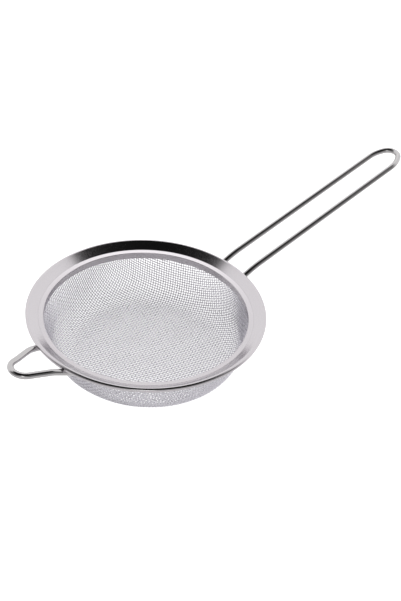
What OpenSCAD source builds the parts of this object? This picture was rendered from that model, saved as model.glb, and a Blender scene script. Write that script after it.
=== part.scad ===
/* [Rim] */
// Outer diameter of the rim
rim_d = 94; // [88:1:115]
// Diameter of the clear opening, inside the clamping ring
opening_d = 80.2; // [66:0.2:82]
// Thickness of the rim's sheet
sheet = 0.5; // [0.3:0.1:0.8]
// Slope of the flange, down towards the opening, in degrees
flange_slope = 33; // [22:1:40]
// Radius of the bend between the flange and the hem, on the sheet's upper face
hem_bend_r = 0.9; // [0.9:0.1:1.4]
// Height of the hem that is turned down around the rim
hem_h = 1.4; // [1.4:0.1:3]
// Radius of the bend between the flange and the neck, on the sheet's upper face
neck_bend_r = 1.2; // [0.9:0.1:3]
// Straight height of the neck under that bend
neck_h = 1.9; // [1.4:0.1:6]

/* [Wire bowl] */
// Height of the rim's top above the flat that the bowl stands on
bowl_depth = 22.4; // [18:0.2:50]
// Distance from the neck in to the edge of that flat, seen from above
bowl_inset = 12.3; // [10.5:0.1:20]
// Radius of the corner between the flat and the wall
bowl_corner_r = 10; // [5:0.5:12]
// Thickness of the woven wire cloth
cloth = 0.7; // [0.5:0.1:1.2]

/* [Clamping ring] */
// Thickness of the strip that grips the cloth in the neck
ring_t = 0.5; // [0.3:0.1:0.8]
// Length of flange that the ring's lip lies on, seen from above
lip_reach = 0.3; // [0.2:0.05:0.8]
// Height of the lip, which covers the cloth's cut edge
ring_lip = 0.6; // [0.5:0.05:0.8]
// Slope of the lip's top, down towards the opening, in degrees
ring_lip_slope = 6; // [0:1:8]
// Radius of the rounded edge between the lip and the opening
ring_edge_r = 0.2; // [0.1:0.05:0.3]

/* [Handle] */
// Diameter of the handle's wire
handle_wire_d = 2.5; // [1.6:0.1:3]
// Length of the handle beyond the rim
handle_l = 102; // [60:1:170]
// Distance between the centres of the two legs
handle_gap = 12.4; // [10:0.2:24]
// Slope of the handle beyond its bend, in degrees
handle_rise = 12.4; // [0:0.2:20]
// Distance from the rim out to the bend
handle_bend_out = 6.4; // [3.5:0.1:13]
// Length of the loop's narrowing end
loop_l = 10; // [9:0.2:20]
// Radius of the loop's tip, at the wire's centre
loop_tip_r = 4.6; // [3:0.1:4.8]

/* [Rest hook] */
// Diameter of the hook's wire
hook_wire_d = 2.5; // [1.6:0.1:3]
// Length of the hook beyond the rim
hook_l = 16; // [12:1:50]
// Distance between the two legs' centres where they pass under the hem
hook_root_w = 16; // [12:0.5:30]
// Radius of the round tip, at the wire's centre
hook_tip_r = 5; // [3:0.5:6]
// Slope of the hook beyond its bend, in degrees
hook_rise = 8.8; // [0:0.2:20]
// Distance from the rim out to the bend
hook_bend_out = 3.1; // [2:0.1:6]

/* [Welds] */
// Gap between both wires and the flange, where the flange bends into the neck
root_gap = 0.2; // [0.05:0.05:0.6]
// Depth that a wire is pressed into the rim at its welds
weld_sink = 0.1; // [0.05:0.01:0.15]

/* [Hidden] */
$fn = 96;

// Chords in the arc of a bend or a corner
bend_steps = 8;

// A wire's pieces end this far short of the ball that joins them, and the ball is this much fatter
joint_gap = 0.1;
joint_swell = 0.02;

// Radii from the axis, worked outwards from the clear opening
ring_r = opening_d / 2;
ring_out_r = ring_r + ring_t;
neck_r = ring_out_r + cloth;
neck_out_r = neck_r + sheet;
rim_r = rim_d / 2;

// The hem's bend: its centre, and where the flange leaves it
rim_z = bowl_depth;
hem_c = [rim_r - hem_bend_r, rim_z - hem_bend_r];
flange_normal = [-sin(flange_slope), cos(flange_slope)];
hem_t = hem_c + hem_bend_r * flange_normal;
hem_bottom = rim_z - hem_h;

// The neck's bend: the flange runs down onto it, and the neck hangs from it
neck_t_r = neck_r + neck_bend_r * (1 - sin(flange_slope));
neck_t = [neck_t_r, hem_t[1] - (hem_t[0] - neck_t_r) * tan(flange_slope)];
neck_c = neck_t - neck_bend_r * flange_normal;
neck_bottom = neck_c[1] - neck_h;

// The bowl's wall runs straight from the neck's lower edge onto its corner arc
corner_c = [neck_r - bowl_inset, bowl_corner_r];
to_neck = [neck_r, neck_bottom] - corner_c;
wall_lean = acos(bowl_corner_r / norm(to_neck)) - atan2(to_neck[1], to_neck[0]);
ring_bottom = neck_bottom + cloth * tan(wall_lean / 2);
ring_top = neck_t[1] + lip_reach * tan(flange_slope);
cloth_top = ring_top - ring_lip;

// The ring's lip lies on the flange, and its top slopes down onto the rounded edge of the opening
lip_top = [flange_r(ring_top), ring_top];
lip_edge_c = [ring_r + ring_edge_r, ring_top - (lip_top[0] - ring_r - ring_edge_r) * tan(ring_lip_slope)
    - ring_edge_r / cos(ring_lip_slope)];

// Slope of both wires from under the hem to the neck, so that they pass just below the flange
root_slope = atan((hem_bottom - neck_t[1] + sheet / cos(flange_slope) + root_gap) / (rim_r - neck_t_r));

// Points along an arc round c, with the angles counted from the outward direction
function arc_points(c, r, from, to) =
    [for (i = [0:bend_steps]) let (a = from + (to - from) * i / bend_steps) c + r * [cos(a), sin(a)]];

// The sheet's face at a depth below its upper face: up the neck, along the flange, down the hem
function sheet_face(depth) = concat(
    [[neck_r + depth, neck_bottom]],
    arc_points(neck_c, neck_bend_r - depth, 180, 90 + flange_slope),
    arc_points(hem_c, hem_bend_r - depth, 90 + flange_slope, 0),
    [[rim_r - depth, hem_bottom]]
);

// The cloth's face at a depth inside its outer face: along the flat, round the corner, up the wall
function cloth_face(depth) = concat(
    [[0, depth]],
    arc_points(corner_c, bowl_corner_r - depth, -90, -wall_lean),
    [[neck_r - depth, neck_bottom + depth * tan(wall_lean / 2)], [neck_r - depth, cloth_top]]
);

// Radius of the flange's upper face at a height, with its slope carried on over the neck's bend
function flange_r(z) = neck_t_r + (z - neck_t[1]) / tan(flange_slope);

// A closed outline from two faces that run the same way
function between(face, other) = concat(face, [for (i = [len(other) - 1:-1:0]) other[i]]);

// Height of a wire's centre where it passes under the hem, pressed in by the weld
function under_hem(d) = hem_bottom - d / 2 / cos(root_slope) + weld_sink;

// Radius at which a wire's sloping end bites into the neck by the same depth
function end_r(d) = neck_out_r + d / 2 * sin(root_slope) - weld_sink;

// Distance from p, against the plan direction u, to a circle of radius r round the axis
function back_to(p, u, r) = let (b = p * u) (b - sqrt(b * b - (p * p - r * r) * (u * u))) / (u * u);

// The handle: its crossing of the rim, its bend, and its loop in the plane of the sloping legs
handle_y = handle_gap / 2;
handle_edge = [sqrt(rim_r * rim_r - handle_y * handle_y), handle_y];
handle_bend_x = handle_edge[0] + handle_bend_out;
handle_bend_z = under_hem(handle_wire_d) + handle_bend_out * tan(root_slope);
handle_root_l = (handle_bend_out + back_to(handle_edge, [1, 0], end_r(handle_wire_d))) / cos(root_slope);
loop_tip = (rim_r + handle_l - handle_wire_d / 2 - handle_bend_x) / cos(handle_rise);
loop_start = loop_tip - loop_l;
loop_side_r = (pow(loop_l - loop_tip_r, 2) + pow(handle_y, 2) - pow(loop_tip_r, 2))
    / (2 * (handle_y - loop_tip_r));
loop_tip_a = atan2(loop_side_r - handle_y, loop_l - loop_tip_r);

// The hook, laid out flat from its bend: its legs run from the rim onto the round tip
hook_y = hook_root_w / 2;
hook_edge_x = sqrt(rim_r * rim_r - hook_y * hook_y);
hook_bend_x = hook_edge_x + hook_bend_out;
hook_bend_z = under_hem(hook_wire_d) + hook_bend_out * tan(root_slope);
hook_edge = [-hook_bend_out / cos(root_slope), hook_y];
hook_tip = (rim_r + hook_l - hook_wire_d / 2 - hook_bend_x) / cos(hook_rise);
to_hook_tip = [hook_tip - hook_tip_r, 0] - hook_edge;
hook_turn = atan2(to_hook_tip[1], to_hook_tip[0]) + asin(hook_tip_r / norm(to_hook_tip));
hook_bend_y = hook_y - hook_edge[0] * tan(hook_turn);
hook_root_l = -hook_edge[0] / cos(hook_turn)
    + back_to([hook_edge_x, hook_y], [cos(hook_turn) * cos(root_slope), sin(hook_turn)], end_r(hook_wire_d));
hook_leg_l = (hook_tip - hook_tip_r - hook_tip_r * sin(hook_turn)) / cos(hook_turn);

// A straight length of wire along +X, from one x to another
module rod(from, to, d) {
    translate([from, 0, 0]) rotate([0, 90, 0]) cylinder(d = d, h = to - from);
}

// A bent length of wire: part of a ring round the Z axis, short of both its end balls
module bend(r, from, to, d) {
    gap_a = joint_gap / r * 180 / PI;
    rotate([0, 0, from + gap_a]) rotate_extrude(angle = to - from - 2 * gap_a)
        translate([r, 0]) circle(d = d);
}

// The ball that joins two lengths of wire, with its poles on the wire's line along X
module joint(d) {
    rotate([0, 90, 0]) sphere(d = d + joint_swell);
}

// Tilts the +X direction up by a slope
module sloped(slope) {
    rotate([0, -slope, 0]) children();
}

// Makes a piece and its mirror image on the other side of the X axis
module both_sides() {
    for (side = [0, 1]) mirror([0, side, 0]) children();
}

module rim() {
    color([0.80, 0.80, 0.83]) rotate_extrude() polygon(between(sheet_face(0), sheet_face(sheet)));
}

// A strip on edge inside the cloth, with a lip on top that reaches out over the cloth onto the flange
module clamp_ring() {
    color([0.72, 0.72, 0.75]) rotate_extrude() polygon(concat(
        [[ring_r, ring_bottom], [ring_out_r, ring_bottom], [ring_out_r, cloth_top]],
        [[flange_r(cloth_top), cloth_top], lip_top],
        arc_points(lip_edge_c, ring_edge_r, 90 + ring_lip_slope, 180)
    ));
}

module mesh_bowl() {
    color([0.66, 0.66, 0.69]) rotate_extrude() polygon(between(cloth_face(0), cloth_face(cloth)));
}

// One leg of the handle, seen from its bend: the root runs back to the neck
module handle_leg() {
    sloped(root_slope) rod(-handle_root_l, -joint_gap, handle_wire_d);
    sloped(handle_rise) {
        joint(handle_wire_d);
        rod(joint_gap, loop_start - joint_gap, handle_wire_d);
        translate([loop_start, 0, 0]) joint(handle_wire_d);
    }
}

// The closed end of the handle, in the plane of its legs
module handle_loop() {
    translate([loop_tip - loop_tip_r, 0, 0]) bend(loop_tip_r, -loop_tip_a, loop_tip_a, handle_wire_d);
    both_sides() {
        translate([loop_start, handle_y - loop_side_r, 0])
            bend(loop_side_r, loop_tip_a, 90, handle_wire_d);
        translate([loop_tip - loop_tip_r, 0, 0]) rotate([0, 0, loop_tip_a])
            translate([loop_tip_r, 0, 0]) rotate([0, 0, 90]) joint(handle_wire_d);
    }
}

module handle() {
    color([0.78, 0.78, 0.80]) difference() {
        translate([handle_bend_x, 0, handle_bend_z]) {
            both_sides() translate([0, handle_y, 0]) handle_leg();
            sloped(handle_rise) handle_loop();
        }
        rim();
    }
}

// One leg of the hook, seen from its bend
module hook_leg() {
    sloped(root_slope) rotate([0, 0, hook_turn]) rod(-hook_root_l, -joint_gap, hook_wire_d);
    sloped(hook_rise) rotate([0, 0, hook_turn]) {
        joint(hook_wire_d);
        rod(joint_gap, hook_leg_l - joint_gap, hook_wire_d);
        translate([hook_leg_l, 0, 0]) joint(hook_wire_d);
    }
}

module rest_hook() {
    color([0.78, 0.78, 0.80]) rotate([0, 0, 180]) difference() {
        translate([hook_bend_x, 0, hook_bend_z]) {
            both_sides() translate([0, hook_bend_y, 0]) hook_leg();
            sloped(hook_rise) translate([hook_tip - hook_tip_r, 0, 0])
                bend(hook_tip_r, -90 - hook_turn, 90 + hook_turn, hook_wire_d);
        }
        rim();
    }
}

rim();
clamp_ring();
mesh_bowl();
handle();
rest_hook();
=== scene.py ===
"""A tea strainer of stainless steel: spun rim, woven wire bowl, wire handle and wire rest hook.

Lengths are in metres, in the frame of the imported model: +Z up, +X towards the handle.
"""
import math

import bpy
import numpy as np
from mathutils import Matrix, Vector


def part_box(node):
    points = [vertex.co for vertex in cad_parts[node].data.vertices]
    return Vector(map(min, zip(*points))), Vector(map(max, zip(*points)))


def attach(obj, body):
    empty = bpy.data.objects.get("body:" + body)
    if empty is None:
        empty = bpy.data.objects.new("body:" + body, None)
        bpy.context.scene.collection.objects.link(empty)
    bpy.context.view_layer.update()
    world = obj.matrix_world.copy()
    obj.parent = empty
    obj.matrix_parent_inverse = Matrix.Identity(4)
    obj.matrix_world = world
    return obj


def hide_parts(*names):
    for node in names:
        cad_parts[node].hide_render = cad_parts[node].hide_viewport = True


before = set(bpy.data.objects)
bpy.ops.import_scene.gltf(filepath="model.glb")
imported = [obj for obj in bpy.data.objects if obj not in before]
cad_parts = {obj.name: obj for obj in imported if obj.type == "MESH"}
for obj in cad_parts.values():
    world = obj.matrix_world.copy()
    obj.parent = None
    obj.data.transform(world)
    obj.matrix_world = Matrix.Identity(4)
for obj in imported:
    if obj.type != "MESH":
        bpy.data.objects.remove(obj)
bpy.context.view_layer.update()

# ---------------------------------------------------------------- sizes, from the frame

RIM_LOW, RIM_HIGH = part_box("rim")
BOWL_LOW, BOWL_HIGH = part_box("mesh_bowl")
RING_LOW, RING_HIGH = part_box("clamp_ring")
_, HANDLE_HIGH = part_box("handle")
HOOK_LOW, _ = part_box("rest_hook")

RIM_R = RIM_HIGH.x
RIM_Z = RIM_HIGH.z
NECK_BOTTOM = RIM_LOW.z
NECK_R = BOWL_HIGH.x
CLOTH_TOP = BOWL_HIGH.z
RING_BOTTOM = RING_LOW.z
RING_TOP = RING_HIGH.z

# ---------------------------------------------------------------- sizes, as in the part's source

SHEET = 0.0005
FLANGE_SLOPE = math.radians(33)
HEM_BEND_R = 0.0009
HEM_H = 0.0014
NECK_BEND_R = 0.0012
RING_T = 0.0005
RING_LIP_SLOPE = math.radians(6)
RING_EDGE_R = 0.0002
CUT_EDGE_R = 0.00012

BOWL_FLAT_R = NECK_R - 0.0123
BOWL_CORNER_R = 0.010
CLOTH = 0.0007

WIRE_R = 0.00125
ROOT_GAP = 0.0002
WELD_SINK = 0.0001
HANDLE_Y = 0.0062
HANDLE_RISE = math.radians(12.4)
HANDLE_BEND_OUT = 0.0064
LOOP_L = 0.010
LOOP_TIP_R = 0.0046
HOOK_Y = 0.008
HOOK_TIP_R = 0.005
HOOK_RISE = math.radians(8.8)
HOOK_BEND_OUT = 0.0031
HANDLE_BEND_R = 0.045
HOOK_BEND_R = 0.012
HOOK_BOWS = (0.0002, 0.0007)

# The cloth was pressed by hand: its flat sits this far off centre, in this direction
BOWL_SHIFT = 0.00125
BOWL_SHIFT_TURN = math.radians(-41)
DENT_SIZE = 0.0055
DENT_DEPTH = 0.0004
DENT_TWISTS = (1.3, 0.8)
DENT_FADE = 4

# The weave: how far apart its wires are, and how far it is turned from the handle
PITCH = 0.00106
WEAVE_TURN = math.radians(29)

# How finely round shapes are drawn
LATHE_STEPS = 360
WEAVE_SIDES = 6
WIRE_SIDES = 32
CUT_EDGE_STEPS = 4
RING_EDGE_STEPS = 6
NECK_BEND_STEPS = 12
HEM_BEND_STEPS = 16
WIRE_BEND_STEPS = 8
LOOP_SIDE_STEPS = 14
LOOP_TIP_STEPS = 18
HOOK_TIP_STEPS = 24
HANDLE_SPACING = 0.004
HOOK_SPACING = 0.002

# ---------------------------------------------------------------- helpers


def arc(centre, radius, start, end, steps):
    """Points along an arc, with its angles in degrees from the outward direction."""
    angles = np.radians(np.linspace(start, end, steps + 1))
    return [(centre[0] + radius * math.cos(a), centre[1] + radius * math.sin(a)) for a in angles]


def stretch(a, b):
    """Points inside a straight stretch, close to its ends, that keep its shading flat."""
    return [(a[0] + (b[0] - a[0]) * t, a[1] + (b[1] - a[1]) * t) for t in (0.04, 0.5, 0.96)]


def joined(*runs):
    """Runs of points joined into one outline, with points inside each straight stretch between runs."""
    outline = []
    for i, run in enumerate(runs):
        following = runs[(i + 1) % len(runs)]
        outline += run + stretch(run[-1], following[0])
    return outline


def new_object(name, vertices, faces, material, replaces):
    """A smooth mesh piece that rides on the part and stands for a CAD node."""
    mesh = bpy.data.meshes.new(name)
    mesh.from_pydata(vertices, [], faces)
    mesh.polygons.foreach_set("use_smooth", [True] * len(mesh.polygons))
    mesh.materials.append(material)
    mesh.update()
    piece = bpy.data.objects.new(name, mesh)
    bpy.context.scene.collection.objects.link(piece)
    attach(piece, "root")
    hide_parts(replaces)
    return piece


def lathe(outline, steps=LATHE_STEPS):
    """Vertices and faces of a closed outline turned round the bowl's axis."""
    count = len(outline)
    turns = [2 * math.pi * k / steps for k in range(steps)]
    vertices = [(r * math.cos(turn), r * math.sin(turn), z) for turn in turns for r, z in outline]
    faces = []
    for k in range(steps):
        here, there = k * count, (k + 1) % steps * count
        for i in range(count):
            j = (i + 1) % count
            faces.append((here + i, there + i, there + j, here + j))
    return vertices, faces


def tube(points, ups, radius, sides, start):
    """Vertices and faces of a closed tube along points, with its first side facing the ups."""
    points = np.asarray(points)
    ups = np.asarray(ups)
    tangents = np.gradient(points, axis=0)
    tangents /= np.linalg.norm(tangents, axis=1)[:, None]
    across = np.cross(tangents, ups)
    across /= np.linalg.norm(across, axis=1)[:, None]
    ups = np.cross(across, tangents)
    angles = 2 * np.pi * np.arange(sides) / sides
    rings = (points[:, None]
             + radius * np.cos(angles)[None, :, None] * ups[:, None]
             + radius * np.sin(angles)[None, :, None] * across[:, None])
    vertices = rings.reshape(-1, 3).tolist()
    faces = []
    for k in range(len(points) - 1):
        here = start + k * sides
        for i in range(sides):
            j = (i + 1) % sides
            faces.append((here + i, here + sides + i, here + sides + j, here + j))
    faces.append(tuple(start + i for i in range(sides)))
    last = start + (len(points) - 1) * sides
    faces.append(tuple(last + sides - 1 - i for i in range(sides)))
    return vertices, faces


# ---------------------------------------------------------------- materials

SHEET_COLOUR = (0.655, 0.625, 0.650)
CLOTH_COLOUR = (0.86, 0.84, 0.89)
WIRE_COLOUR = (0.57, 0.555, 0.56)

# Lowest and highest roughness of each metal, and the sheet's roughness before its grain
SHEET_ROUGHNESS = (0.13, 0.20)
CLOTH_ROUGHNESS = (0.25, 0.37)
WIRE_ROUGHNESS = (0.09, 0.15)
SHEET_BASE_ROUGHNESS = 0.17
SHEET_ANISOTROPY = 0.4

# The grain of the spun sheet: stretched along the turning, so it barely changes round the axis
GRAIN_SCALE = 9000.0
GRAIN_SPREAD = 0.004
GRAIN_BUMP = 0.06
GRAIN_DEPTH = 0.00002
CLOTH_PATCHES = 900.0
WIRE_PATCHES = 240.0


def steel(name, colour, roughness, anisotropy=0.0):
    """A metal with the given colour and roughness, and its shader node for more detail."""
    material = bpy.data.materials.new(name)
    material.use_nodes = True
    shader = material.node_tree.nodes["Principled BSDF"]
    shader.inputs["Base Color"].default_value = (*colour, 1)
    shader.inputs["Metallic"].default_value = 1.0
    shader.inputs["Roughness"].default_value = roughness
    shader.inputs["Anisotropic"].default_value = anisotropy
    return material, shader


def node(material, kind, **values):
    """A new shader node, with the named inputs set."""
    new = material.node_tree.nodes.new(kind)
    for name, value in values.items():
        new.inputs[name.replace("_", " ")].default_value = value
    return new


def link(material, a, output, b, target):
    """Joins one node's output to another's input."""
    material.node_tree.links.new(a.outputs[output], b.inputs[target])


def vary_roughness(material, shader, noise, noise_range, roughness):
    """Takes the roughness from its lowest to its highest as the noise crosses its range."""
    shine = node(material, "ShaderNodeMapRange")
    shine.inputs["From Min"].default_value = noise_range[0]
    shine.inputs["From Max"].default_value = noise_range[1]
    shine.inputs["To Min"].default_value = roughness[0]
    shine.inputs["To Max"].default_value = roughness[1]
    link(material, noise, "Fac", shine, "Value")
    link(material, shine, "Result", shader, "Roughness")


def spun_steel():
    """Satin sheet with a fine grain that runs round the bowl's axis."""
    material, shader = steel("spun_steel", SHEET_COLOUR, SHEET_BASE_ROUGHNESS, SHEET_ANISOTROPY)
    place = node(material, "ShaderNodeTexCoord")
    split = node(material, "ShaderNodeSeparateXYZ")
    link(material, place, "Object", split, "Vector")
    radius = node(material, "ShaderNodeVectorMath")
    radius.operation = "LENGTH"
    flat = node(material, "ShaderNodeCombineXYZ")
    link(material, split, "X", flat, "X")
    link(material, split, "Y", flat, "Y")
    link(material, flat, "Vector", radius, 0)
    turn = node(material, "ShaderNodeMath")
    turn.operation = "ARCTAN2"
    link(material, split, "Y", turn, 0)
    link(material, split, "X", turn, 1)
    grain_place = node(material, "ShaderNodeCombineXYZ")
    spread = node(material, "ShaderNodeMath")
    spread.operation = "MULTIPLY"
    spread.inputs[1].default_value = GRAIN_SPREAD
    link(material, turn, "Value", spread, 0)
    link(material, radius, "Value", grain_place, "X")
    link(material, split, "Z", grain_place, "Y")
    link(material, spread, "Value", grain_place, "Z")
    grain = node(material, "ShaderNodeTexNoise", Scale=GRAIN_SCALE, Detail=3.0, Roughness=0.6)
    link(material, grain_place, "Vector", grain, "Vector")
    bump = node(material, "ShaderNodeBump", Strength=GRAIN_BUMP, Distance=GRAIN_DEPTH)
    link(material, grain, "Fac", bump, "Height")
    link(material, bump, "Normal", shader, "Normal")
    vary_roughness(material, shader, grain, (0.3, 0.7), SHEET_ROUGHNESS)
    return material


def wire_steel(name, colour, roughness, scale):
    """Drawn wire, with faint uneven patches in its polish."""
    material, shader = steel(name, colour, sum(roughness) / 2)
    place = node(material, "ShaderNodeTexCoord")
    patches = node(material, "ShaderNodeTexNoise", Scale=scale, Detail=4.0, Roughness=0.55)
    link(material, place, "Object", patches, "Vector")
    vary_roughness(material, shader, patches, (0.35, 0.65), roughness)
    return material


# ---------------------------------------------------------------- rim and clamping ring


def sheet_runs(depth):
    """The sheet's face at a depth below its upper face, as arcs from the neck to the hem."""
    slope = math.degrees(FLANGE_SLOPE)
    hem_c = (RIM_R - HEM_BEND_R, RIM_Z - HEM_BEND_R)
    hem_t = (hem_c[0] - HEM_BEND_R * math.sin(FLANGE_SLOPE),
             hem_c[1] + HEM_BEND_R * math.cos(FLANGE_SLOPE))
    neck_t_r = NECK_R + NECK_BEND_R * (1 - math.sin(FLANGE_SLOPE))
    neck_t_z = hem_t[1] - (hem_t[0] - neck_t_r) * math.tan(FLANGE_SLOPE)
    neck_c = (NECK_R + NECK_BEND_R, neck_t_z - NECK_BEND_R * math.cos(FLANGE_SLOPE))
    return [
        arc(neck_c, NECK_BEND_R - depth, 180, 90 + slope, NECK_BEND_STEPS),
        arc(hem_c, HEM_BEND_R - depth, 90 + slope, 0, HEM_BEND_STEPS),
    ]


def cut_edge(outer_r, bottom):
    """The rounded cut edge of a sheet that stands upright, from its outer face to its inner one."""
    edge = CUT_EDGE_R
    return (arc((outer_r - edge, bottom + edge), edge, 0, -90, CUT_EDGE_STEPS)
            + arc((outer_r - SHEET + edge, bottom + edge), edge, -90, -180, CUT_EDGE_STEPS))


def make_rim(material):
    """The spun rim: neck, flange and hem, as one turned sheet."""
    upper_neck, upper_hem = sheet_runs(0)
    lower_neck, lower_hem = sheet_runs(SHEET)
    hem_edge = cut_edge(RIM_R, RIM_Z - HEM_H)
    neck_edge = cut_edge(NECK_R + SHEET, NECK_BOTTOM)
    outline = joined(upper_neck, upper_hem, hem_edge, lower_hem[::-1], lower_neck[::-1], neck_edge)
    vertices, faces = lathe(outline)
    return new_object("rim_sheet", vertices, faces, material, "rim")


def make_clamp_ring(material):
    """The thin ring that grips the cloth in the neck, with a lip over the cloth's cut edge."""
    outer = NECK_R - CLOTH
    inner = outer - RING_T
    edge = RING_EDGE_R
    cut = CUT_EDGE_R
    lip_r = RING_HIGH.x
    under_lip_r = lip_r - (RING_TOP - CLOTH_TOP) / math.tan(FLANGE_SLOPE)
    edge_r = inner + edge
    edge_z = RING_TOP - (lip_r - edge_r) * math.tan(RING_LIP_SLOPE) - edge / math.cos(RING_LIP_SLOPE)
    outline = joined(
        arc((edge_r, edge_z), edge, 90 + math.degrees(RING_LIP_SLOPE), 180, RING_EDGE_STEPS),
        arc((inner + cut, RING_BOTTOM + cut), cut, 180, 270, CUT_EDGE_STEPS),
        arc((outer - cut, RING_BOTTOM + cut), cut, 270, 360, CUT_EDGE_STEPS),
        [(outer, CLOTH_TOP)],
        [(under_lip_r, CLOTH_TOP)],
        [(lip_r, RING_TOP)],
    )
    vertices, faces = lathe(outline)
    return new_object("clamping_strip", vertices, faces, material, "clamp_ring")


# ---------------------------------------------------------------- woven wire bowl


class BowlFace:
    """The middle of the cloth: flat, corner, straight wall and the edge gripped in the neck."""

    def __init__(self):
        half = CLOTH / 2
        self.flat = BOWL_FLAT_R
        self.corner = BOWL_CORNER_R - half
        self.centre = (BOWL_FLAT_R, BOWL_CORNER_R)
        to_neck = (NECK_R - self.centre[0], NECK_BOTTOM - self.centre[1])
        reach = math.hypot(*to_neck)
        self.lean = math.acos(BOWL_CORNER_R / reach) - math.atan2(to_neck[1], to_neck[0])
        self.bend_a = math.pi / 2 - self.lean
        self.arc_end = self.flat + self.corner * self.bend_a
        self.top_r = NECK_R - half
        self.wall_r = self.flat + self.corner * math.cos(self.lean)
        self.wall_z = self.centre[1] - self.corner * math.sin(self.lean)
        self.wall_end = self.arc_end + (self.top_r - self.wall_r) / math.sin(self.lean)
        self.kink_z = self.wall_z + (self.wall_end - self.arc_end) * math.cos(self.lean)
        self.end = self.wall_end + CLOTH_TOP - self.kink_z

    def at(self, s):
        """Radius, height and the outward normal's two parts, at a distance s from the bowl's middle."""
        if s <= self.flat:
            return s, CLOTH / 2, 0.0, -1.0
        if s <= self.arc_end:
            a = (s - self.flat) / self.corner
            r = self.flat + self.corner * math.sin(a)
            return r, self.centre[1] - self.corner * math.cos(a), math.sin(a), -math.cos(a)
        if s <= self.wall_end:
            d = s - self.arc_end
            r = self.wall_r + d * math.sin(self.lean)
            return r, self.wall_z + d * math.cos(self.lean), math.cos(self.lean), -math.sin(self.lean)
        return self.top_r, self.kink_z + s - self.wall_end, 1.0, 0.0

    def point(self, s, turn):
        """The place at a distance s from the bowl's middle and a turn round its axis."""
        r, z, _, _ = self.at(s)
        return np.array((r * math.cos(turn), r * math.sin(turn), z))

    def normal(self, s, turn):
        """The outward direction at that place."""
        _, _, out, up = self.at(s)
        return np.array((out * math.cos(turn), out * math.sin(turn), up))


def next_crossing(face, a, b, guess):
    """The place on the face that lies one pitch from both points a and b, found by Newton's method."""
    s, turn = guess
    step = 1e-7
    for _ in range(12):
        p = face.point(s, turn)
        miss = np.array((np.dot(p - a, p - a), np.dot(p - b, p - b))) - PITCH * PITCH
        if np.abs(miss).max() < 1e-13:
            break
        along = (face.point(s + step, turn) - p) / step
        round_it = (face.point(s, turn + step) - p) / step
        slopes = 2 * np.array(((np.dot(p - a, along), np.dot(p - a, round_it)),
                               (np.dot(p - b, along), np.dot(p - b, round_it))))
        change = np.linalg.solve(slopes, miss)
        s -= change[0]
        turn -= change[1]
    return s, turn


def crossings(face):
    """Places (s, turn) of the crossings in one quarter: a net of wires that don't stretch, only shear."""
    reach = int(face.end / PITCH) + 2
    net = {}
    for i in range(reach + 1):
        net[i, 0] = (i * PITCH, 0.0)
        net[0, i] = (i * PITCH, math.pi / 2)
    for total in range(2, 2 * reach + 1):
        for i in range(1, total):
            j = total - i
            if (i - 1, j) not in net or (i, j - 1) not in net:
                continue
            if math.hypot(i, j) * PITCH < face.flat:
                net[i, j] = (math.hypot(i, j) * PITCH, math.atan2(j, i))
                continue
            left, below = net[i - 1, j], net[i, j - 1]
            if min(left[0], below[0]) > face.end:
                continue
            corner = net[i - 1, j - 1]
            guess = (left[0] + below[0] - corner[0], left[1] + below[1] - corner[1])
            if i == 1 or j == 1:
                guess = ((left[0] + below[0]) / 2 + PITCH / 3, (left[1] + below[1]) / 2)
            net[i, j] = next_crossing(face, face.point(*left), face.point(*below), guess)
    return net


def wire_run(face, net, i, swap):
    """Centre line and upward directions of the i-th wire of a family, over and under the other one."""
    amplitude = CLOTH / 4

    def key(j):
        return (j, abs(i)) if swap else (abs(i), j)

    places = [net[key(0)]]
    while key(len(places)) in net and places[-1][0] <= face.end:
        places.append(net[key(len(places))])

    def place(k):
        s, turn = places[abs(k)]
        x_side, y_side = (k, i) if swap else (i, k)
        if y_side < 0:
            turn = -turn
        if x_side < 0:
            turn = math.pi - turn
        return s, turn + WEAVE_TURN

    points, ups = [], []
    last = len(places) - 1
    for k in range(-last, last + 1):
        s, turn = place(k)
        phase = 1 if (i + k) % 2 == 0 else -1
        if swap:
            phase = -phase
        normal = face.normal(s, turn)
        points.append(face.point(s, turn) + normal * amplitude * phase)
        ups.append(normal)
    return trimmed(points, ups)


def trimmed(points, ups):
    """The run with a flat point between each two crossings, cut off at the cloth's top edge."""
    fine, fine_ups = [], []
    for k, (point, up) in enumerate(zip(points, ups)):
        fine.append(point)
        fine_ups.append(up)
        if k + 1 < len(points):
            fine.append((point + points[k + 1]) / 2)
            fine_ups.append(up + ups[k + 1])
    fine, fine_ups = np.array(fine), np.array(fine_ups)
    keep = np.flatnonzero(fine[:, 2] <= CLOTH_TOP)
    return hand_pressed(fine[keep[0]:keep[-1] + 1]), fine_ups[keep[0]:keep[-1] + 1]


def hand_pressed(points):
    """The points with the cloth's flaws: it hangs a little to one side, and its flat has shallow dents."""
    hang = np.clip((NECK_BOTTOM - points[:, 2]) / (NECK_BOTTOM - BOWL_LOW.z), 0, 1)
    aside = np.array((math.cos(BOWL_SHIFT_TURN), math.sin(BOWL_SHIFT_TURN), 0)) * BOWL_SHIFT
    x, y = points[:, 0], points[:, 1]
    waves = (np.sin(x / DENT_SIZE + DENT_TWISTS[0] * np.sin(y / DENT_SIZE))
             * np.cos(y / DENT_SIZE + DENT_TWISTS[1] * np.sin(x / DENT_SIZE)))
    moved = points + hang[:, None] * aside
    moved[:, 2] += DENT_DEPTH * hang ** DENT_FADE * (1 + waves) / 2
    return moved


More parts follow.
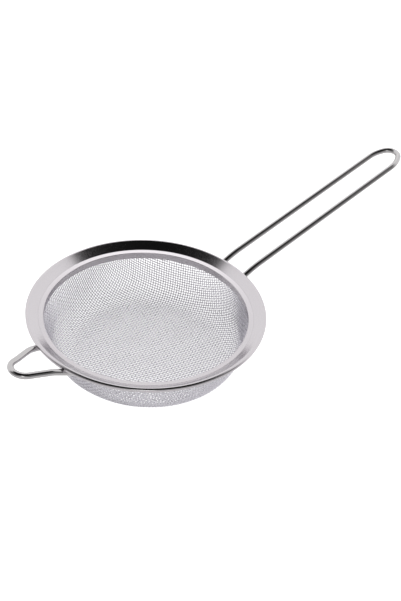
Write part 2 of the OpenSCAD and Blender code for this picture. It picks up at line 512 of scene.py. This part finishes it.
def make_cloth(material):
    """The woven bowl, as its two families of wires."""
    face = BowlFace()
    net = crossings(face)
    reach = max(i for i, j in net if j == 0)
    for name, swap in (("warp_wires", False), ("weft_wires", True)):
        vertices, faces = [], []
        for i in range(-reach, reach + 1):
            start = (0, abs(i)) if swap else (abs(i), 0)
            if net[start][0] > face.end - PITCH / 2:
                continue
            points, ups = wire_run(face, net, i, swap)
            if len(points) < 3:
                continue
            more, more_faces = tube(points, ups, CLOTH / 4, WEAVE_SIDES, len(vertices))
            vertices += more
            faces += more_faces
        new_object(name, vertices, faces, material, "mesh_bowl")


# ---------------------------------------------------------------- bent wires


def root_slope():
    """Slope of a wire from under the hem to the neck, which keeps it just below the flange."""
    neck_t = sheet_runs(0)[0][-1]
    under_flange = neck_t[1] - SHEET / math.cos(FLANGE_SLOPE) - ROOT_GAP
    return math.atan((RIM_Z - HEM_H - under_flange) / (RIM_R - neck_t[0]))


ROOT_SLOPE = root_slope()


def under_hem_z():
    """Height of a wire's centre where it passes under the hem."""
    return RIM_Z - HEM_H - WIRE_R / math.cos(ROOT_SLOPE) + WELD_SINK


def smooth_path(points, radius, spacing):
    """A path through straight legs with every inside corner rounded to a radius."""
    points = [np.array(p, float) for p in points]
    path = [points[0]]
    for before, corner, after in zip(points, points[1:], points[2:]):
        a = (before - corner) / np.linalg.norm(before - corner)
        b = (after - corner) / np.linalg.norm(after - corner)
        half = math.acos(max(-1, min(1, float(a @ b)))) / 2
        cut = radius / math.tan(half)
        centre = corner + (a + b) / np.linalg.norm(a + b) * radius / math.sin(half)
        start, end = corner + a * cut - centre, corner + b * cut - centre
        whole = math.acos(max(-1, min(1, float(start @ end) / radius ** 2)))
        for k in range(WIRE_BEND_STEPS + 1):
            t = k / WIRE_BEND_STEPS
            turned = (math.sin((1 - t) * whole) * start + math.sin(t * whole) * end) / math.sin(whole)
            path.append(centre + turned)
    path.append(points[-1])
    return resampled(path, spacing)


def resampled(path, spacing):
    """The path with extra points wherever two are further apart than the spacing."""
    fine = [path[0]]
    for a, b in zip(path, path[1:]):
        steps = max(1, math.ceil(np.linalg.norm(b - a) / spacing))
        fine += [a + (b - a) * k / steps for k in range(1, steps + 1)]
    return np.array(fine)


def bowed(half, bow):
    """One leg of a wire, bowed outwards between its ends."""
    along = np.r_[0, np.cumsum(np.linalg.norm(np.diff(half, axis=0), axis=1))]
    moved = half.copy()
    moved[:, 1] += bow * np.sin(np.pi * along / along[-1]) ** 2
    return moved


def make_wire(name, half, tip_points, material, replaces, flip, bows=(0, 0)):
    """A wire from one half's path, root to tip, the points of its tip and the mirrored half."""
    other = bowed(half, bows[1])[::-1] * np.array((1, -1, 1))
    path = np.vstack((bowed(half, bows[0]), tip_points, other))
    if flip:
        path = path * np.array((-1, -1, 1))
    ups = np.tile((0.0, 0.0, 1.0), (len(path), 1))
    vertices, faces = tube(path, ups, WIRE_R, WIRE_SIDES, 0)
    return new_object(name, vertices, faces, material, replaces)


def make_handle(material):
    """The long loop of wire, from both its roots under the flange to its narrow rounded tip."""
    edge_x = math.sqrt(RIM_R ** 2 - HANDLE_Y ** 2)
    bend_x = edge_x + HANDLE_BEND_OUT
    bend_z = under_hem_z() + HANDLE_BEND_OUT * math.tan(ROOT_SLOPE)
    root_r = NECK_R + SHEET + WIRE_R * math.sin(ROOT_SLOPE) - WELD_SINK
    root_x = math.sqrt(root_r ** 2 - HANDLE_Y ** 2)
    root = (root_x, HANDLE_Y, bend_z - (bend_x - root_x) * math.tan(ROOT_SLOPE))
    rise = np.array((math.cos(HANDLE_RISE), 0, math.sin(HANDLE_RISE)))
    bend = np.array((bend_x, 0, bend_z))
    tip = (HANDLE_HIGH.x - WIRE_R - bend_x) / math.cos(HANDLE_RISE)

    def on_slope(x, y):
        return bend + rise * x + np.array((0, y, 0))

    side_r = ((LOOP_L - LOOP_TIP_R) ** 2 + HANDLE_Y ** 2 - LOOP_TIP_R ** 2) / (2 * (HANDLE_Y - LOOP_TIP_R))
    tip_a = math.degrees(math.atan2(side_r - HANDLE_Y, LOOP_L - LOOP_TIP_R))
    start = on_slope(tip - LOOP_L, HANDLE_Y)
    half = smooth_path([root, on_slope(0, HANDLE_Y), start], HANDLE_BEND_R, HANDLE_SPACING)
    side = arc((tip - LOOP_L, HANDLE_Y - side_r), side_r, 90, tip_a, LOOP_SIDE_STEPS)[1:]
    half = np.vstack((half, [on_slope(x, y) for x, y in side]))
    tip_run = arc((tip - LOOP_TIP_R, 0), LOOP_TIP_R, tip_a, -tip_a, LOOP_TIP_STEPS)[1:-1]
    tip_points = [on_slope(x, y) for x, y in tip_run]
    return make_wire("handle_wire", half, tip_points, material, "handle", False)


def make_rest_hook(material):
    """The short loop of wire opposite the handle, whose legs close in towards its tip."""
    edge_x = math.sqrt(RIM_R ** 2 - HOOK_Y ** 2)
    bend_x = edge_x + HOOK_BEND_OUT
    bend_z = under_hem_z() + HOOK_BEND_OUT * math.tan(ROOT_SLOPE)
    rise = np.array((math.cos(HOOK_RISE), 0, math.sin(HOOK_RISE)))
    sink = np.array((math.cos(ROOT_SLOPE), 0, math.sin(ROOT_SLOPE)))
    bend = np.array((bend_x, 0, bend_z))
    tip = (-HOOK_LOW.x - WIRE_R - bend_x) / math.cos(HOOK_RISE)
    centre = tip - HOOK_TIP_R
    edge = (-HOOK_BEND_OUT / math.cos(ROOT_SLOPE), HOOK_Y)
    to_tip = (centre - edge[0], -edge[1])
    turn = math.atan2(to_tip[1], to_tip[0]) + math.asin(HOOK_TIP_R / math.hypot(*to_tip))
    bend_y = edge[1] - edge[0] * math.tan(turn)

    def on_slope(x, y):
        return bend + (rise if x > 0 else sink) * x + np.array((0, y, 0))

    root_r = NECK_R + SHEET + WIRE_R * math.sin(ROOT_SLOPE) - WELD_SINK
    direction = np.array((math.cos(turn) * math.cos(ROOT_SLOPE), math.sin(turn)))
    p = np.array((edge_x, HOOK_Y))
    b = float(p @ direction)
    u = float(direction @ direction)
    back = (b - math.sqrt(b * b - (float(p @ p) - root_r ** 2) * u)) / u
    root_x = edge[0] - back * math.cos(turn)
    root = on_slope(root_x, bend_y + root_x * math.tan(turn))
    leg_end = (centre - HOOK_TIP_R * math.sin(turn), HOOK_TIP_R * math.cos(turn))
    half = smooth_path([root, on_slope(0, bend_y), on_slope(*leg_end)], HOOK_BEND_R, HOOK_SPACING)
    sweep = 90 + math.degrees(turn)
    tip_run = arc((centre, 0), HOOK_TIP_R, sweep, -sweep, HOOK_TIP_STEPS)[1:-1]
    tip_points = [on_slope(x, y) for x, y in tip_run]
    return make_wire("hook_wire", half, tip_points, material, "rest_hook", True, HOOK_BOWS)


# ---------------------------------------------------------------- floor, light and camera

# The camera's place and aim, from the middle of the rim's top
CAMERA_AT = Vector((-0.1933, -0.2221, 0.2339))
CAMERA_AIM = Vector((0.0195, -0.0097, 0.0))
CAMERA_ROLL = math.radians(4.82)
CAMERA_LENS = 57.53

FLOOR_R = 3.0
FLOOR_GAP = 0.0002
DOME_R = 2.9
DOME_DROP = 0.3
DOME_STEPS = 48
DOME_RINGS = 12

# The floor's glow, in the open and in the bowl's soft round shadow
FLOOR_GLOW = 0.9
SHADE_GLOW = 0.72
SHADE_R = 0.043
SHADE_BLUR = 0.004
SHADE_BACK = 0.018

# The world's strength on the camera's side, behind the part, straight above and below
FRONT_LIGHT = 0.2
BACK_LIGHT = 1.0
BACK_START = -0.2
BACK_FULL = 0.2
ROOF_SHADE = 0.03
ROOF_TILT = 72
ROOF_SIZE = 43.7
ROOF_BLUR = 2.3
TABLE_LIGHT = 0.75
TABLE_FULL = -12
TABLE_END = 2

# Round patches of light: turn from the camera's side, angle up, half angle, soft edge, strength
LIGHT_PATCHES = (
    (180, 50, 5, 3, 0.55),
    (0, 8, 30, 14, 0.25),
    (0, 24, 9, 3, 1.5),
)

TOP_LIGHT_SIZE = 1.4
TOP_LIGHT_POWER = 9.0
TOP_LIGHT_Z = 1.3


def white_glow(name, strength):
    """A plain white material that is lit from within."""
    material = bpy.data.materials.new(name)
    material.use_nodes = True
    shader = material.node_tree.nodes["Principled BSDF"]
    shader.inputs["Roughness"].default_value = 0.9
    shader.inputs["Specular IOR Level"].default_value = 0.0
    shader.inputs["Emission Color"].default_value = (1, 1, 1, 1)
    shader.inputs["Emission Strength"].default_value = strength
    return material, shader


def stage_piece(name, mesh):
    """A piece of the studio, which the metal doesn't mirror."""
    piece = bpy.data.objects.new(name, mesh)
    bpy.context.scene.collection.objects.link(piece)
    piece.visible_glossy = False
    return piece


def make_floor():
    """A white floor, lit from within, with the bowl's soft shadow, which falls away from the camera."""
    corners = [(x * FLOOR_R, y * FLOOR_R, 0) for x, y in ((-1, -1), (1, -1), (1, 1), (-1, 1))]
    mesh = bpy.data.meshes.new("floor")
    mesh.from_pydata(corners, [], [(0, 1, 2, 3)])
    floor = stage_piece("floor", mesh)
    away = Vector((-CAMERA_AT.x, -CAMERA_AT.y, 0)).normalized() * SHADE_BACK
    floor.location = (away.x, away.y, BOWL_LOW.z - FLOOR_GAP)
    material, shader = white_glow("white_floor", 1.0)
    shader.inputs["Base Color"].default_value = (0.6, 0.6, 0.6, 1)
    place = node(material, "ShaderNodeTexCoord")
    reach = node(material, "ShaderNodeVectorMath")
    reach.operation = "LENGTH"
    shade = node(material, "ShaderNodeMapRange")
    shade.interpolation_type = "SMOOTHSTEP"
    shade.inputs["From Min"].default_value = SHADE_R - SHADE_BLUR
    shade.inputs["From Max"].default_value = SHADE_R + SHADE_BLUR
    shade.inputs["To Min"].default_value = SHADE_GLOW
    shade.inputs["To Max"].default_value = FLOOR_GLOW
    link(material, place, "Object", reach, 0)
    link(material, reach, "Value", shade, "Value")
    link(material, shade, "Result", shader, "Emission Strength")
    mesh.materials.append(material)


def make_backdrop():
    """A white dome behind everything, which only the camera sees."""
    vertices, faces = [], []
    for k in range(DOME_RINGS + 1):
        up = math.pi / 2 * k / DOME_RINGS
        ring_r = DOME_R * math.cos(up)
        ring_z = DOME_R * math.sin(up) - DOME_DROP
        for i in range(DOME_STEPS):
            turn = 2 * math.pi * i / DOME_STEPS
            vertices.append((ring_r * math.cos(turn), ring_r * math.sin(turn), ring_z))
    for k in range(DOME_RINGS):
        here, above = k * DOME_STEPS, (k + 1) * DOME_STEPS
        for i in range(DOME_STEPS):
            j = (i + 1) % DOME_STEPS
            faces.append((here + i, here + j, above + j, above + i))
    mesh = bpy.data.meshes.new("backdrop")
    mesh.from_pydata(vertices, [], faces)
    dome = stage_piece("backdrop", mesh)
    dome.visible_diffuse = False
    dome.visible_shadow = False
    material, shader = white_glow("white_backdrop", 1.0)
    shader.inputs["Base Color"].default_value = (0, 0, 0, 1)
    mesh.materials.append(material)


class Sky:
    """The world's shader: patches of light and dark, each worked out from the direction."""

    def __init__(self):
        world = bpy.data.worlds.new("studio")
        world.use_nodes = True
        bpy.context.scene.world = world
        self.tree = world.node_tree
        self.background = self.tree.nodes["Background"]
        self.background.inputs["Color"].default_value = (1, 1, 1, 1)
        self.place = self.tree.nodes.new("ShaderNodeTexCoord")

    def towards(self, turn, up):
        """How far the direction leans towards a turn and an angle up, both in degrees."""
        turn, up = math.radians(turn), math.radians(up)
        dot = self.tree.nodes.new("ShaderNodeVectorMath")
        dot.operation = "DOT_PRODUCT"
        flat = math.cos(up)
        dot.inputs[1].default_value = (flat * math.cos(turn), flat * math.sin(turn), math.sin(up))
        self.tree.links.new(self.place.outputs["Generated"], dot.inputs[0])
        return dot.outputs["Value"]

    def ramp(self, value, start, end, low, high):
        """A smooth step from low to high as the value goes from start to end."""
        step = self.tree.nodes.new("ShaderNodeMapRange")
        step.interpolation_type = "SMOOTHSTEP"
        for name, number in (("From Min", start), ("From Max", end), ("To Min", low), ("To Max", high)):
            step.inputs[name].default_value = number
        self.tree.links.new(value, step.inputs["Value"])
        return step.outputs["Result"]

    def combined(self, kind, a, b):
        """Two values brought together by one kind of maths."""
        maths = self.tree.nodes.new("ShaderNodeMath")
        maths.operation = kind
        self.tree.links.new(a, maths.inputs[0])
        self.tree.links.new(b, maths.inputs[1])
        return maths.outputs["Value"]

    def patch(self, turn, up, size, blur, light):
        """A round patch of light in a direction, with its half angle, its soft edge and its strength."""
        near = math.cos(math.radians(size + blur))
        inside = math.cos(math.radians(max(size - blur, 0)))
        return self.ramp(self.towards(turn, up), near, inside, 0.0, light)


def make_world():
    """A studio that is white behind the part and dark above it and on the camera's side."""
    sky = Sky()
    facing = math.degrees(math.atan2(CAMERA_AT.y, CAMERA_AT.x))
    height = sky.towards(0, 90)
    back = sky.ramp(sky.towards(facing + 180, 0), BACK_START, BACK_FULL, FRONT_LIGHT, BACK_LIGHT)
    roof = sky.ramp(sky.towards(facing, ROOF_TILT), math.cos(math.radians(ROOF_SIZE + ROOF_BLUR)),
                    math.cos(math.radians(ROOF_SIZE - ROOF_BLUR)), 1.0, ROOF_SHADE)
    table = sky.ramp(height, math.sin(math.radians(TABLE_FULL)), math.sin(math.radians(TABLE_END)),
                     TABLE_LIGHT, 0.0)
    light = sky.combined("MAXIMUM", sky.combined("MULTIPLY", back, roof), table)
    for turn, up, size, blur, strength in LIGHT_PATCHES:
        light = sky.combined("ADD", light, sky.patch(facing + turn, up, size, blur, strength))
    sky.tree.links.new(light, sky.background.inputs["Strength"])


def make_top_light():
    """A broad soft light from above for the floor, which the metal doesn't mirror."""
    data = bpy.data.lights.new("top_light", "AREA")
    data.shape = "DISK"
    data.size = TOP_LIGHT_SIZE
    data.energy = TOP_LIGHT_POWER
    lamp = bpy.data.objects.new("top_light", data)
    bpy.context.scene.collection.objects.link(lamp)
    lamp.location = (0, 0, TOP_LIGHT_Z)
    lamp.visible_glossy = False


def make_camera():
    """The camera, placed and aimed from the middle of the rim's top."""
    rim_centre = Vector((0, 0, RIM_Z))
    data = bpy.data.cameras.new("camera")
    data.lens = CAMERA_LENS
    data.sensor_width = 36.0
    camera = bpy.data.objects.new("camera", data)
    bpy.context.scene.collection.objects.link(camera)
    look = (CAMERA_AIM - CAMERA_AT).to_track_quat("-Z", "Y").to_matrix().to_4x4()
    roll = Matrix.Rotation(CAMERA_ROLL, 4, "Z")
    camera.matrix_world = Matrix.Translation(rim_centre + CAMERA_AT) @ look @ roll
    bpy.context.scene.camera = camera


def main():
    """Builds the materials, the pieces and the studio around them."""
    sheet = spun_steel()
    cloth = wire_steel("cloth_wire", CLOTH_COLOUR, CLOTH_ROUGHNESS, CLOTH_PATCHES)
    wire = wire_steel("polished_wire", WIRE_COLOUR, WIRE_ROUGHNESS, WIRE_PATCHES)
    make_rim(sheet)
    make_clamp_ring(sheet)
    make_cloth(cloth)
    make_handle(wire)
    make_rest_hook(wire)
    make_floor()
    make_backdrop()
    make_world()
    make_top_light()
    make_camera()
    bpy.context.scene.view_settings.view_transform = "Standard"


main()
